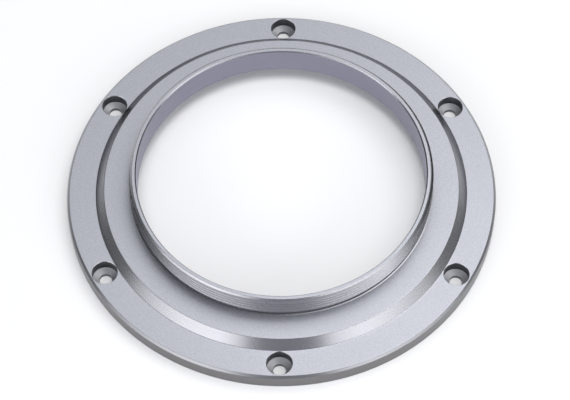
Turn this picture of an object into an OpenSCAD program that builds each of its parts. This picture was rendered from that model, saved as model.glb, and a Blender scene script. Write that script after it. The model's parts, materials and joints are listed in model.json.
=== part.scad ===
// Lens mount ring, turned in one piece: a flat flange with counterbored screw holes,
// a 45 degree step up to a plateau, and a thin threaded collar round a clear bore.
// Millimetres. The origin is the centre of the underside, with +Z along the optical axis.

/* [Collar] */
// Major diameter of the thread on the collar's outside
thread_d = 52; // [44:0.5:62]
// Length of the threaded land, without its lead-in
thread_len = 3.1; // [2:0.1:8]
// 45 degree lead-in chamfer at the top of the thread
lead_in = 0.5; // [0.2:0.05:0.8]
// Radial depth of the relief below the thread, measured from the major diameter
relief_depth = 0.6; // [0.4:0.05:1]
// Flat width at the bottom of the relief, before its 45 degree run-out
relief_flat = 0.2; // [0.1:0.05:1]
// Wall left between the relief and the bore
collar_wall = 0.6; // [0.5:0.05:2]
// 45 degree break on the bore's top edge
bore_break = 0.2; // [0.05:0.05:0.25]

/* [Plateau] */
// Width of the plateau, from the thread's major diameter to the top of the step
plateau_w = 4.5; // [3:0.1:10]
// Height of the plateau above the flange, and so the size of its 45 degree step
plateau_h = 1.5; // [0.8:0.1:3]

/* [Screws] */
// Number of screw holes round the flange
screw_n = 6; // [3:1:8]
// Direction of the first screw hole, in degrees from +X
screw_start = 90; // [0:5:355]
// Diameter of the through holes
screw_hole_d = 2.2; // [1.6:0.1:3]
// Diameter of the counterbores for the screw heads
head_d = 4.3; // [3.5:0.1:6]
// Depth of the counterbores below the flange's top face
head_depth = 2.1; // [1:0.1:4]
// Metal left under each screw head
screw_web = 0.9; // [0.5:0.1:3]
// Gap between a counterbore and the foot of the step
head_gap = 0.1; // [0.05:0.05:2]

/* [Flange edge] */
// Flat land between a counterbore and the edge chamfer
rim_land = 0.2; // [0.1:0.05:3]
// 45 degree chamfer on the top outer edge
edge_chamfer = 0.4; // [0.1:0.05:0.8]
// 45 degree break on the bottom outer edge
foot_break = 0.1; // [0.05:0.05:0.5]

/* [Underside recess] */
// Metal left between the recess and the plateau's top face
recess_roof = 0.85; // [0.6:0.05:1.4]
// Radial distance from the recess's wall out to the top of the step
recess_wall = 1.5; // [1:0.1:2.5]
// 45 degree break on the recess's mouth
recess_break = 0.2; // [0.05:0.05:0.4]

/* [Hidden] */
$fn = 180;
thread_r = thread_d / 2;
relief_r = thread_r - relief_depth;
bore_r = relief_r - collar_wall;
plateau_r = thread_r + plateau_w;
recess_r = plateau_r - recess_wall;
step_foot_r = plateau_r + plateau_h;
screw_r = step_foot_r + head_gap + head_d / 2;
flange_r = screw_r + head_d / 2 + rim_land + edge_chamfer;
flange_z = screw_web + head_depth;
plateau_z = flange_z + plateau_h;
recess_z = plateau_z - recess_roof;
relief_z = plateau_z + relief_flat;
thread_z = relief_z + relief_depth;
lead_in_z = thread_z + thread_len;
top_z = lead_in_z + lead_in;
cut_over = 1;

// Half of the ring's section, as [radius, height] from the bore round to the recess
module ring_section() {
    polygon([
        [bore_r, recess_z],
        [bore_r, top_z - bore_break],
        [bore_r + bore_break, top_z],
        [thread_r - lead_in, top_z],
        [thread_r, lead_in_z],
        [thread_r, thread_z],
        [relief_r, relief_z],
        [relief_r, plateau_z],
        [plateau_r, plateau_z],
        [step_foot_r, flange_z],
        [flange_r - edge_chamfer, flange_z],
        [flange_r, flange_z - edge_chamfer],
        [flange_r, foot_break],
        [flange_r - foot_break, 0],
        [recess_r + recess_break, 0],
        [recess_r, recess_break],
        [recess_r, recess_z]
    ]);
}

// One through hole with its flat-floored counterbore, standing on the underside
module screw_cut() {
    translate([0, 0, -cut_over])
        cylinder(d = screw_hole_d, h = flange_z + cut_over);
    translate([0, 0, screw_web])
        cylinder(d = head_d, h = head_depth + cut_over);
}

module lens_mount_ring() {
    color([0.72, 0.73, 0.76])
        difference() {
            rotate_extrude()
                ring_section();
            for (i = [0 : screw_n - 1])
                rotate([0, 0, screw_start + i * 360 / screw_n])
                    translate([screw_r, 0, 0])
                        screw_cut();
        }
}

lens_mount_ring();
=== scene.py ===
import json
import math

import bpy
from mathutils import Matrix, Vector


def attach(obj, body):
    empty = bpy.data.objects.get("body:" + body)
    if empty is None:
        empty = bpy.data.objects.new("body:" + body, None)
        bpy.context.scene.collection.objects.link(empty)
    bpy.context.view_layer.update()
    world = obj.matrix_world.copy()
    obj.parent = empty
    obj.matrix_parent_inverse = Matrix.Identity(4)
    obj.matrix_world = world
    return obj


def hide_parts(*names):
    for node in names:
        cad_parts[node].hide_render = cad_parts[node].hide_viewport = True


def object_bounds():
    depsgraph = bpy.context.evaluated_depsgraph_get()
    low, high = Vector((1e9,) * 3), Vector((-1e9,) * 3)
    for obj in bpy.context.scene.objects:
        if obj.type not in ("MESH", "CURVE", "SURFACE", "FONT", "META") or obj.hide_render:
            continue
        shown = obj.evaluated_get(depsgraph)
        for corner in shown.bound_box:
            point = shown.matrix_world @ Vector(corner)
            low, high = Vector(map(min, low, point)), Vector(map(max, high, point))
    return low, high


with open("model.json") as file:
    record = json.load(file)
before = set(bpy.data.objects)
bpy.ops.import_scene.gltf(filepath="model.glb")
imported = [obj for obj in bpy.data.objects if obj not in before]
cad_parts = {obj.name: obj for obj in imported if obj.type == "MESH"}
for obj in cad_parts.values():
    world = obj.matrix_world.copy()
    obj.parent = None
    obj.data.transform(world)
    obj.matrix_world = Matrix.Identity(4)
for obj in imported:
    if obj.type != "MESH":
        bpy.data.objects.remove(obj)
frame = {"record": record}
cadLow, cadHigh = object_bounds()
mounts = {m["name"]: m["dims"] for m in frame["record"]["mounts"]}
mm = 0.001
near = 1e-3  # a vertex this close to a place, in millimetres, is the one meant
weld = 1e-4  # vertices this close become one
print("frame loaded, CAD box in mm:", [round(v / mm, 2) for v in cadHigh - cadLow])


def clearSelection():
    if bpy.context.object and bpy.context.object.mode != "OBJECT":
        bpy.ops.object.mode_set(mode="OBJECT")
    bpy.ops.object.select_all(action="DESELECT")


def makeActive(obj):
    clearSelection()
    obj.select_set(True)
    bpy.context.view_layer.objects.active = obj


def pickVertices(obj, test):
    # back in edit mode with only the vertices that pass the test selected
    bpy.ops.object.mode_set(mode="EDIT")
    bpy.ops.mesh.select_mode(type="VERT")
    bpy.ops.mesh.select_all(action="DESELECT")
    bpy.ops.object.mode_set(mode="OBJECT")
    for v in obj.data.vertices:
        v.select = test(v.co)
    bpy.ops.object.mode_set(mode="EDIT")


def applyModifier(obj, kind, **settings):
    makeActive(obj)
    bpy.ops.object.modifier_add(type=kind)
    modifier = obj.modifiers[-1]
    for name, value in settings.items():
        setattr(modifier, name, value)
    bpy.ops.object.modifier_apply(modifier=modifier.name)


def cutAway(obj, cutter):
    applyModifier(obj, "BOOLEAN", operation="DIFFERENCE", solver="EXACT", object=cutter)
    bpy.data.objects.remove(cutter)


# the ring's section, in millimetres; it is scaled to metres once it is cut
ring = {
    "flangeRadius": cadHigh.x / mm,
    "topHeight": cadHigh.z / mm,
    "boreRadius": mounts["optical_bore"]["r_mm"],
    "threadRadius": mounts["collar_thread"]["r_mm"],
    "threadLength": mounts["collar_thread"]["length_mm"],
    "leadIn": 0.5,
    "boreBreak": 0.2,
    "reliefDepth": 0.6,
    "reliefFlat": 0.2,
    "lipInner": 25.86,
    "lipOuter": 26.11,
    "lipHeight": 0.065,
    "lipRun": 0.04,
    "plateauRadius": 30.5,
    "plateauHeight": 4.5,
    "flangeHeight": 3.0,
    "edgeChamfer": 0.4,
    "footBreak": 0.1,
    "recessRadius": 29.0,
    "recessHeight": 3.65,
    "recessBreak": 0.2,
    "spinSteps": 288,
    "smoothAngle": 9,
}


def ringOutline():
    leadInZ = ring["topHeight"] - ring["leadIn"]
    threadZ = leadInZ - ring["threadLength"]
    reliefR = ring["threadRadius"] - ring["reliefDepth"]
    reliefZ = ring["plateauHeight"] + ring["reliefFlat"]
    stepFootR = ring["plateauRadius"] + ring["plateauHeight"] - ring["flangeHeight"]
    # radius, height, how far the corner is rounded
    return [
        (ring["boreRadius"], ring["recessHeight"], 0.05),
        (ring["boreRadius"], ring["topHeight"] - ring["boreBreak"], 0.03),
        (ring["boreRadius"] + ring["boreBreak"], ring["topHeight"], 0.03),
        (ring["threadRadius"] - ring["leadIn"], ring["topHeight"], 0.04),
        (ring["threadRadius"], leadInZ, 0.0),
        (ring["threadRadius"], threadZ, 0.0),
        (reliefR, reliefZ, 0.05),
        (reliefR, ring["plateauHeight"], 0.05),
        (ring["lipInner"] - ring["lipRun"], ring["plateauHeight"], 0.02),
        (ring["lipInner"], ring["plateauHeight"] + ring["lipHeight"], 0.03),
        (ring["lipOuter"], ring["plateauHeight"], 0.0),
        (ring["plateauRadius"], ring["plateauHeight"], 0.06),
        (stepFootR, ring["flangeHeight"], 0.08),
        (ring["flangeRadius"] - ring["edgeChamfer"], ring["flangeHeight"], 0.05),
        (ring["flangeRadius"], ring["flangeHeight"] - ring["edgeChamfer"], 0.05),
        (ring["flangeRadius"], ring["footBreak"], 0.02),
        (ring["flangeRadius"] - ring["footBreak"], 0.0, 0.02),
        (ring["recessRadius"] + ring["recessBreak"], 0.0, 0.03),
        (ring["recessRadius"], ring["recessBreak"], 0.03),
        (ring["recessRadius"], ring["recessHeight"], 0.2),
    ]


def turnRing():
    clearSelection()
    outline = ringOutline()
    bpy.ops.mesh.primitive_plane_add(size=1)
    obj = bpy.context.object
    obj.name = "mountRing"
    bpy.ops.object.mode_set(mode="EDIT")
    bpy.ops.mesh.select_all(action="SELECT")
    bpy.ops.mesh.merge(type="CENTER")  # one vertex, drawn along the outline
    here = Vector((outline[0][0], 0, outline[0][1]))
    bpy.ops.transform.translate(value=here)
    for radius, height, _ in outline[1:]:
        there = Vector((radius, 0, height))
        bpy.ops.mesh.extrude_vertices_move(TRANSFORM_OT_translate={"value": there - here})
        here = there
    bpy.ops.mesh.select_all(action="SELECT")
    bpy.ops.mesh.edge_face_add()
    for radius, height, rounding in outline:
        if rounding:
            corner = Vector((radius, 0, height))
            pickVertices(obj, lambda co: (co - corner).length < near)
            bpy.ops.mesh.bevel(offset=rounding, segments=2, affect="VERTICES")
    bpy.ops.mesh.select_all(action="SELECT")
    bpy.ops.mesh.delete(type="ONLY_FACE")
    bpy.ops.mesh.select_all(action="SELECT")
    bpy.ops.mesh.spin(steps=ring["spinSteps"], angle=math.tau, center=(0, 0, 0), axis=(0, 0, 1))
    bpy.ops.mesh.select_all(action="SELECT")
    bpy.ops.mesh.remove_doubles(threshold=weld)
    bpy.ops.mesh.normals_make_consistent(inside=False)
    bpy.ops.object.mode_set(mode="OBJECT")
    return obj


mountRing = turnRing()
print("ring turned:", len(mountRing.data.polygons), "faces")

# fine metric thread on the collar, basic 60 degree profile
thread = {
    "pitch": 0.75,
    "depthShare": 0.5413,  # of the pitch
    "rootShare": 0.25,
    "flankAngle": 30,
    "turns": 6,
    "startHeight": 4.9,
    "crestBreak": 0.03,
    "overRadius": 0.02,
}


def cutThread(obj):
    clearSelection()
    pitch = thread["pitch"]
    flankR = ring["threadRadius"] - thread["crestBreak"]
    rootR = ring["threadRadius"] - thread["depthShare"] * pitch
    rootWidth = thread["rootShare"] * pitch
    flankWidth = rootWidth + 2 * (flankR - rootR) * math.tan(math.radians(thread["flankAngle"]))
    middle = ((rootR + flankR) / 2, 0, thread["startHeight"])
    bpy.ops.mesh.primitive_plane_add(size=1, location=middle, rotation=(math.pi / 2, 0, 0))
    cutter = bpy.context.object
    bpy.ops.object.transform_apply(location=True, rotation=True, scale=True)
    bpy.ops.object.mode_set(mode="EDIT")
    bpy.ops.mesh.select_all(action="SELECT")
    bpy.ops.transform.resize(value=(flankR - rootR, 1, flankWidth), center_override=middle)
    bpy.ops.object.mode_set(mode="OBJECT")
    pickVertices(cutter, lambda co: co.x < middle[0])  # the groove's root is narrower
    bpy.ops.transform.resize(value=(1, 1, rootWidth / flankWidth), center_override=middle)
    bpy.ops.object.mode_set(mode="OBJECT")
    pickVertices(cutter, lambda co: co.x > middle[0])  # its mouth flares, which breaks the crests
    flare = thread["crestBreak"] + thread["overRadius"]
    bpy.ops.mesh.extrude_edges_move(TRANSFORM_OT_translate={"value": (flare, 0, 0)})
    bpy.ops.transform.resize(value=(1, 1, 1 + 2 * flare / flankWidth), center_override=middle)
    bpy.ops.mesh.select_all(action="SELECT")
    bpy.ops.mesh.dissolve_faces()
    bpy.ops.mesh.delete(type="ONLY_FACE")
    bpy.ops.object.mode_set(mode="OBJECT")
    applyModifier(cutter, "SCREW", axis="Z", angle=math.tau, screw_offset=pitch,
                  iterations=thread["turns"], steps=ring["spinSteps"],
                  render_steps=ring["spinSteps"], use_merge_vertices=False)
    bpy.ops.object.mode_set(mode="EDIT")
    bpy.ops.mesh.select_all(action="SELECT")
    bpy.ops.mesh.remove_doubles(threshold=weld)
    bpy.ops.mesh.fill_holes(sides=6)
    bpy.ops.mesh.normals_make_consistent(inside=False)
    bpy.ops.object.mode_set(mode="OBJECT")
    cutAway(obj, cutter)


cutThread(mountRing)
print("thread cut:", len(mountRing.data.polygons), "faces")

screwHole = {
    "count": mounts["flange_screws"]["count"],
    "circleRadius": mounts["flange_screws"]["pcd_mm"] / 2,
    "radius": mounts["flange_screws"]["hole_r_mm"],
    "headRadius": 2.15,
    "web": 0.9,
    "floorDrop": 0.5,  # the head's floor slopes down to the hole, as a drill leaves it
    "mouthBreak": 0.06,
    "sides": 64,
    "over": 1.0,
}


def growTop(obj, place, upBy, ratio=1):
    # one more step of the stepped cutter: its top face goes up and widens about the hole's axis
    top = max(v.co.z for v in obj.data.vertices)
    pickVertices(obj, lambda co: co.z > top - weld)
    bpy.ops.mesh.extrude_region_move(TRANSFORM_OT_translate={"value": (0, 0, upBy)})
    if ratio != 1:
        bpy.ops.transform.resize(value=(ratio, ratio, 1), center_override=place)
    bpy.ops.object.mode_set(mode="OBJECT")


def boreScrewHoles(obj):
    clearSelection()
    place = Vector((0, screwHole["circleRadius"], 0))
    throat = screwHole["web"] - screwHole["floorDrop"] / 2
    floorTop = screwHole["web"] + screwHole["floorDrop"] / 2
    depth = screwHole["over"] + throat
    middle = place + Vector((0, 0, throat - depth / 2))
    bpy.ops.mesh.primitive_cylinder_add(vertices=screwHole["sides"], radius=screwHole["radius"],
                                        depth=depth, location=middle)
    cutter = bpy.context.object
    bpy.ops.object.transform_apply(location=True, rotation=True, scale=True)
    mouthRadius = screwHole["headRadius"] + screwHole["mouthBreak"]
    growTop(cutter, place, screwHole["floorDrop"], screwHole["headRadius"] / screwHole["radius"])
    growTop(cutter, place, ring["flangeHeight"] - floorTop - screwHole["mouthBreak"])
    growTop(cutter, place, screwHole["mouthBreak"], mouthRadius / screwHole["headRadius"])
    growTop(cutter, place, screwHole["over"])
    makeActive(cutter)
    bpy.ops.object.mode_set(mode="EDIT")
    bpy.ops.mesh.select_all(action="SELECT")
    bpy.ops.mesh.normals_make_consistent(inside=False)
    bpy.ops.object.mode_set(mode="OBJECT")
    copies = [cutter]
    for _ in range(screwHole["count"] - 1):  # each copy is turned on from the last
        bpy.ops.object.duplicate()
        bpy.ops.transform.rotate(value=math.tau / screwHole["count"], orient_axis="Z",
                                 center_override=(0, 0, 0))
        copies.append(bpy.context.object)
    for copy in copies:
        copy.select_set(True)
    bpy.ops.object.join()
    bpy.ops.object.transform_apply(location=True, rotation=True, scale=True)
    cutAway(obj, bpy.context.object)


boreScrewHoles(mountRing)
print("screw holes bored:", len(mountRing.data.polygons), "faces")

makeActive(mountRing)
bpy.ops.transform.resize(value=(mm, mm, mm), center_override=(0, 0, 0))
bpy.ops.object.transform_apply(location=True, rotation=True, scale=True)
bpy.ops.object.shade_smooth_by_angle(angle=math.radians(ring["smoothAngle"]))

# one metal with nine finishes: two tones, roughness from and to, whether its marks run round the ring,
# and how fine and how high they are; tones darker than blastedFace's are painted shade, not the
# metal's colour
finishes = {
    "blastedFace": {"tones": ((0.632, 0.648, 0.716), (0.872, 0.888, 0.956)), "roughness": (0.45, 0.51),
                    "turned": False, "markScale": 3600, "markHeight": 0.000003},
    # painted shade: the sloping cut faces (step cone, lead-in and chamfers) are darker than the faces,
    # for the dark surroundings they mirror
    "slopeCutPaintedShade": {"tones": ((0.378, 0.38, 0.402), (0.408, 0.41, 0.432)), "roughness": (0.24, 0.28),
                  "turned": True, "markScale": 3200, "markHeight": 0.000001},
    # painted shade: the flange's outer chamfer is darker still, for the dark outline it shows at the
    # back
    "edgeCutPaintedShade": {"tones": ((0.335, 0.337, 0.357), (0.36, 0.362, 0.382)), "roughness": (0.27, 0.31),
                "turned": True, "markScale": 3200, "markHeight": 0.000001},
    # painted shade: the collar's thread and lip are darker than the faces, for the shade in the
    # grooves
    "threadCutPaintedShade": {"tones": ((0.415, 0.415, 0.44), (0.45, 0.45, 0.475)), "roughness": (0.24, 0.30),
                  "turned": True, "markScale": 3200, "markHeight": 0.000002},
    # painted shade: the collar's down-facing thread flanks and relief are made near black, for the
    # shade under the thread
    "undercutPaintedShade": {"tones": ((0.10, 0.10, 0.108), (0.125, 0.125, 0.133)), "roughness": (0.30, 0.36),
                 "turned": True, "markScale": 3200, "markHeight": 0.000002},
    # painted shade: the bore's wall is darkened for the shade inside the bore that it mirrors
    "boreWallPaintedShade": {"tones": ((0.272, 0.267, 0.336), (0.297, 0.292, 0.361)), "roughness": (0.40, 0.48),
                 "turned": True, "markScale": 2600, "markHeight": 0.000003},
    # painted shade: the flange's upright outer wall is darkened for the shadowed floor it mirrors
    "edgeWallPaintedShade": {"tones": ((0.195, 0.188, 0.193), (0.215, 0.208, 0.213)), "roughness": (0.30, 0.38),
                 "turned": True, "markScale": 2600, "markHeight": 0.000003},
    # painted shade: the walls of the screw heads are darkened for the shade inside the holes
    "holeWallPaintedShade": {"tones": ((0.125, 0.125, 0.143), (0.15, 0.15, 0.168)), "roughness": (0.36, 0.44),
                 "turned": False, "markScale": 3600, "markHeight": 0.000003},
    # painted shade: the sloping floor in each screw head is darker than the faces, for the shade down
    # in the hole
    "drilledFloorPaintedShade": {"tones": ((0.53, 0.53, 0.55), (0.58, 0.58, 0.60)), "roughness": (0.54, 0.60),
                     "turned": False, "markScale": 3600, "markHeight": 0.000003},
}
# what the finishes share: their marks, the slow change of their sheen, and how strong the bump is
grain = {
    "markDetail": 2.0,
    "cloudScale": 170,
    "cloudDetail": 3.0,
    "evenness": 0.5,
    "bump": 0.3,
}


def addNode(material, kind, **inputs):
    node = material.node_tree.nodes.new(kind)
    for name, value in inputs.items():
        node.inputs[name.replace("_", " ")].default_value = value
    return node


def sectionPlace(material, place):
    # radius and height alone, so that marks run round the ring as a lathe leaves them
    links = material.node_tree.links
    split = addNode(material, "ShaderNodeSeparateXYZ")
    links.new(place, split.inputs["Vector"])
    level = addNode(material, "ShaderNodeCombineXYZ")
    links.new(split.outputs["X"], level.inputs["X"])
    links.new(split.outputs["Y"], level.inputs["Y"])
    radius = addNode(material, "ShaderNodeVectorMath")
    radius.operation = "LENGTH"
    links.new(level.outputs["Vector"], radius.inputs[0])
    section = addNode(material, "ShaderNodeCombineXYZ")
    links.new(radius.outputs["Value"], section.inputs["X"])
    links.new(split.outputs["Z"], section.inputs["Y"])
    return section.outputs["Vector"]


def satinFinish(name):
    look = finishes[name]
    material = bpy.data.materials.new(name)
    material.use_nodes = True
    links = material.node_tree.links
    shader = material.node_tree.nodes["Principled BSDF"]
    shader.inputs["Metallic"].default_value = 1.0
    place = addNode(material, "ShaderNodeTexCoord").outputs["Object"]
    marks = addNode(material, "ShaderNodeTexNoise", Scale=look["markScale"],
                    Detail=grain["markDetail"], Roughness=grain["evenness"])
    links.new(sectionPlace(material, place) if look["turned"] else place, marks.inputs["Vector"])
    cloud = addNode(material, "ShaderNodeTexNoise", Scale=grain["cloudScale"],
                    Detail=grain["cloudDetail"], Roughness=grain["evenness"])
    links.new(place, cloud.inputs["Vector"])
    tone = addNode(material, "ShaderNodeMix")
    tone.data_type = "RGBA"
    for socket, colour in zip(tone.inputs[6:8], look["tones"]):
        socket.default_value = (*colour, 1)
    links.new(marks.outputs["Fac"], tone.inputs[0])
    links.new(tone.outputs[2], shader.inputs["Base Color"])
    low, high = look["roughness"]
    sheen = addNode(material, "ShaderNodeMapRange", To_Min=low, To_Max=high)
    links.new(cloud.outputs["Fac"], sheen.inputs["Value"])
    links.new(sheen.outputs["Result"], shader.inputs["Roughness"])
    bump = addNode(material, "ShaderNodeBump", Strength=grain["bump"], Distance=look["markHeight"])
    links.new(marks.outputs["Fac"], bump.inputs["Height"])
    links.new(bump.outputs["Normal"], shader.inputs["Normal"])
    return material


# how level a face is from 0 upright to 1 flat, and how near in millimetres counts
facing = {
    "sloping": 0.3,
    "flat": 0.9,
    "overhang": -0.2,
    "reach": 0.02,
    "clearOfFace": 0.005,
}


# picks a face's finish, and with it its painted shade, from where the face sits and which way it faces
def finishOf(face):
    radius, height = face.center.xy.length / mm, face.center.z / mm
    level = abs(face.normal.z)
    sloping = level > facing["sloping"]
    if radius < ring["boreRadius"] + facing["reach"] and not sloping:
        return "boreWallPaintedShade"
    collarLow = ring["plateauHeight"] + facing["clearOfFace"]
    collarHigh = ring["topHeight"] - ring["leadIn"]
    if radius < ring["lipOuter"] and collarLow < height < collarHigh:  # the lip too
        return "threadCutPaintedShade" if face.normal.z > facing["overhang"] else "undercutPaintedShade"
    fromCircle = abs(radius - screwHole["circleRadius"])
    inHole = fromCircle < screwHole["headRadius"] + facing["reach"]
    if inHole and sloping and abs(height - screwHole["web"]) < screwHole["floorDrop"]:
        return "drilledFloorPaintedShade"
    if level > facing["flat"]:
        return "blastedFace"
    if sloping:
        return "edgeCutPaintedShade" if radius > ring["flangeRadius"] - ring["edgeChamfer"] else "slopeCutPaintedShade"
    return "holeWallPaintedShade" if inHole else "edgeWallPaintedShade"


for finish in finishes:
    mountRing.data.materials.append(satinFinish(finish))
for face in mountRing.data.polygons:
    face.material_index = list(finishes).index(finishOf(face))
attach(mountRing, "root")
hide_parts("lens_mount_ring")
print("ring finished:", sum(len(f.vertices) - 2 for f in mountRing.data.polygons), "triangles")

studio = {
    "floorSize": 3.0,
    "floorColour": (0.88, 0.88, 0.885),
    "floorRoughness": 0.9,
    "floorGap": 0.00002,
    "worldColour": (0.89, 0.915, 1.0),
    "frontStrength": 0.43,
    "backStrength": 0.06,
    "sideFade": (-0.35, 0.35),  # from the front round to the back
    "horizonShare": 0.12,
    "worldFade": (0.12, 0.45),  # the sine of the height at which the world starts and ends brightening
    "floorLight": {"place": (0.0, -0.12, 0.62), "strength": 1.30, "softness": 26},
    "boxes": {  # degrees round from the front and up, distance, width, height, brightness
        "leftLow": (-49.0, 26, 0.65, 0.70, 0.16, 2.58),
        "rightLow": (53, 26, 0.65, 0.70, 0.16, 2.46),
        "leftSide": (-88, 11, 0.65, 0.50, 0.18, 0.12),
        "rightSide": (91, 11, 0.65, 0.50, 0.18, 0.22),
        "leftHigh": (-54, 50, 0.60, 0.36, 0.30, 0.46),
        "rightHigh": (62, 50, 0.60, 0.44, 0.30, 0.46),
        "backPanel": (180, 60, 0.70, 0.60, 0.40, 0.61),
        "backRight": (140, 62, 0.62, 0.40, 0.40, 0.42),
        "topRight": (98, 67, 0.58, 0.44, 0.44, 1.42),
    },
}


def outward(turn, up):
    # the direction so many degrees round from the front and so many up
    turn, up = math.radians(turn), math.radians(up)
    return Vector((math.sin(turn) * math.cos(up), -math.cos(turn) * math.cos(up), math.sin(up)))


def layFloor():
    clearSelection()
    bpy.ops.mesh.primitive_plane_add(size=studio["floorSize"],
                                     location=(0, 0, cadLow.z - studio["floorGap"]))
    floor = bpy.context.object
    floor.name = "floor"
    material = bpy.data.materials.new("paleFloor")
    material.use_nodes = True
    shader = material.node_tree.nodes["Principled BSDF"]
    shader.inputs["Base Color"].default_value = (*studio["floorColour"], 1)
    shader.inputs["Roughness"].default_value = studio["floorRoughness"]
    shader.inputs["Specular IOR Level"].default_value = 0.0
    floor.data.materials.append(material)
    return floor


def hangLight(name, kind, place, power):
    clearSelection()
    bpy.ops.object.light_add(type=kind, location=place)
    lamp = bpy.context.object
    lamp.name = name
    lamp.data.energy = power
    lamp.rotation_euler = (-Vector(place)).to_track_quat("-Z", "Y").to_euler()
    lamp.visible_camera = False
    return lamp


def lightStudio(floor):
    for name, (turn, up, distance, width, height, brightness) in studio["boxes"].items():
        place = outward(turn, up) * distance
        lamp = hangLight(name, "AREA", place, brightness * math.pi * width * height)
        lamp.data.shape = "RECTANGLE"
        lamp.data.size = width
        lamp.data.size_y = height
    sun = studio["floorLight"]
    lamp = hangLight("floorLight", "SUN", sun["place"], sun["strength"])
    lamp.data.angle = math.radians(sun["softness"])
    onlyFloor = bpy.data.collections.new("onlyFloor")
    onlyFloor.objects.link(floor)
    lamp.light_linking.receiver_collection = onlyFloor  # it brightens the floor and not the ring
    world = bpy.data.worlds.new("studio")
    bpy.context.scene.world = world
    world.use_nodes = True
    links = world.node_tree.links
    ray = addNode(world, "ShaderNodeTexCoord").outputs["Generated"]
    split = addNode(world, "ShaderNodeSeparateXYZ")
    links.new(ray, split.inputs["Vector"])
    low, high = studio["worldFade"]
    rise = addNode(world, "ShaderNodeMapRange", From_Min=low, From_Max=high,
                   To_Min=studio["horizonShare"], To_Max=1.0)
    rise.interpolation_type = "SMOOTHSTEP"
    links.new(split.outputs["Z"], rise.inputs["Value"])
    low, high = studio["sideFade"]
    side = addNode(world, "ShaderNodeMapRange", From_Min=low, From_Max=high,
                   To_Min=studio["frontStrength"], To_Max=studio["backStrength"])
    side.interpolation_type = "SMOOTHSTEP"
    links.new(split.outputs["Y"], side.inputs["Value"])
    glow = addNode(world, "ShaderNodeMath")
    glow.operation = "MULTIPLY"
    links.new(rise.outputs["Result"], glow.inputs[0])
    links.new(side.outputs["Result"], glow.inputs[1])
    links.new(glow.outputs["Value"], world.node_tree.nodes["Background"].inputs["Strength"])
    world.node_tree.nodes["Background"].inputs["Color"].default_value = (*studio["worldColour"], 1)


lightStudio(layFloor())
print("floor and lights set")

camera = {
    "focalLength": 141.72,
    "distance": 0.3875,
    "elevation": 57.261,
    "turn": 1.163,
    "roll": -0.728,
    "lookAt": (0.0, 0.0, 0.003),
    "imageOffset": (-3.41, -12.04),  # of the point looked at from the picture's middle, in pixels
    "pictureWidth": 570,
}


def placeCamera():
    clearSelection()
    back = outward(camera["turn"], camera["elevation"])
    bpy.ops.object.camera_add(location=Vector(camera["lookAt"]) + back * camera["distance"])
    eye = bpy.context.object
    eye.name = "photoCamera"
    aim = (-back).to_track_quat("-Z", "Y").to_matrix().to_4x4()
    pixel = eye.data.sensor_width / camera["pictureWidth"] / camera["focalLength"]
    right, down = -camera["imageOffset"][0] * pixel, -camera["imageOffset"][1] * pixel
    swing = Matrix.Rotation(-right, 4, "Y") @ Matrix.Rotation(-down, 4, "X")
    roll = Matrix.Rotation(math.radians(camera["roll"]), 4, "Z")
    eye.matrix_world = Matrix.Translation(eye.location) @ aim @ swing @ roll
    eye.data.lens = camera["focalLength"]
    bpy.context.scene.camera = eye


placeCamera()
bpy.context.scene.view_settings.view_transform = "Standard"
print("camera placed")
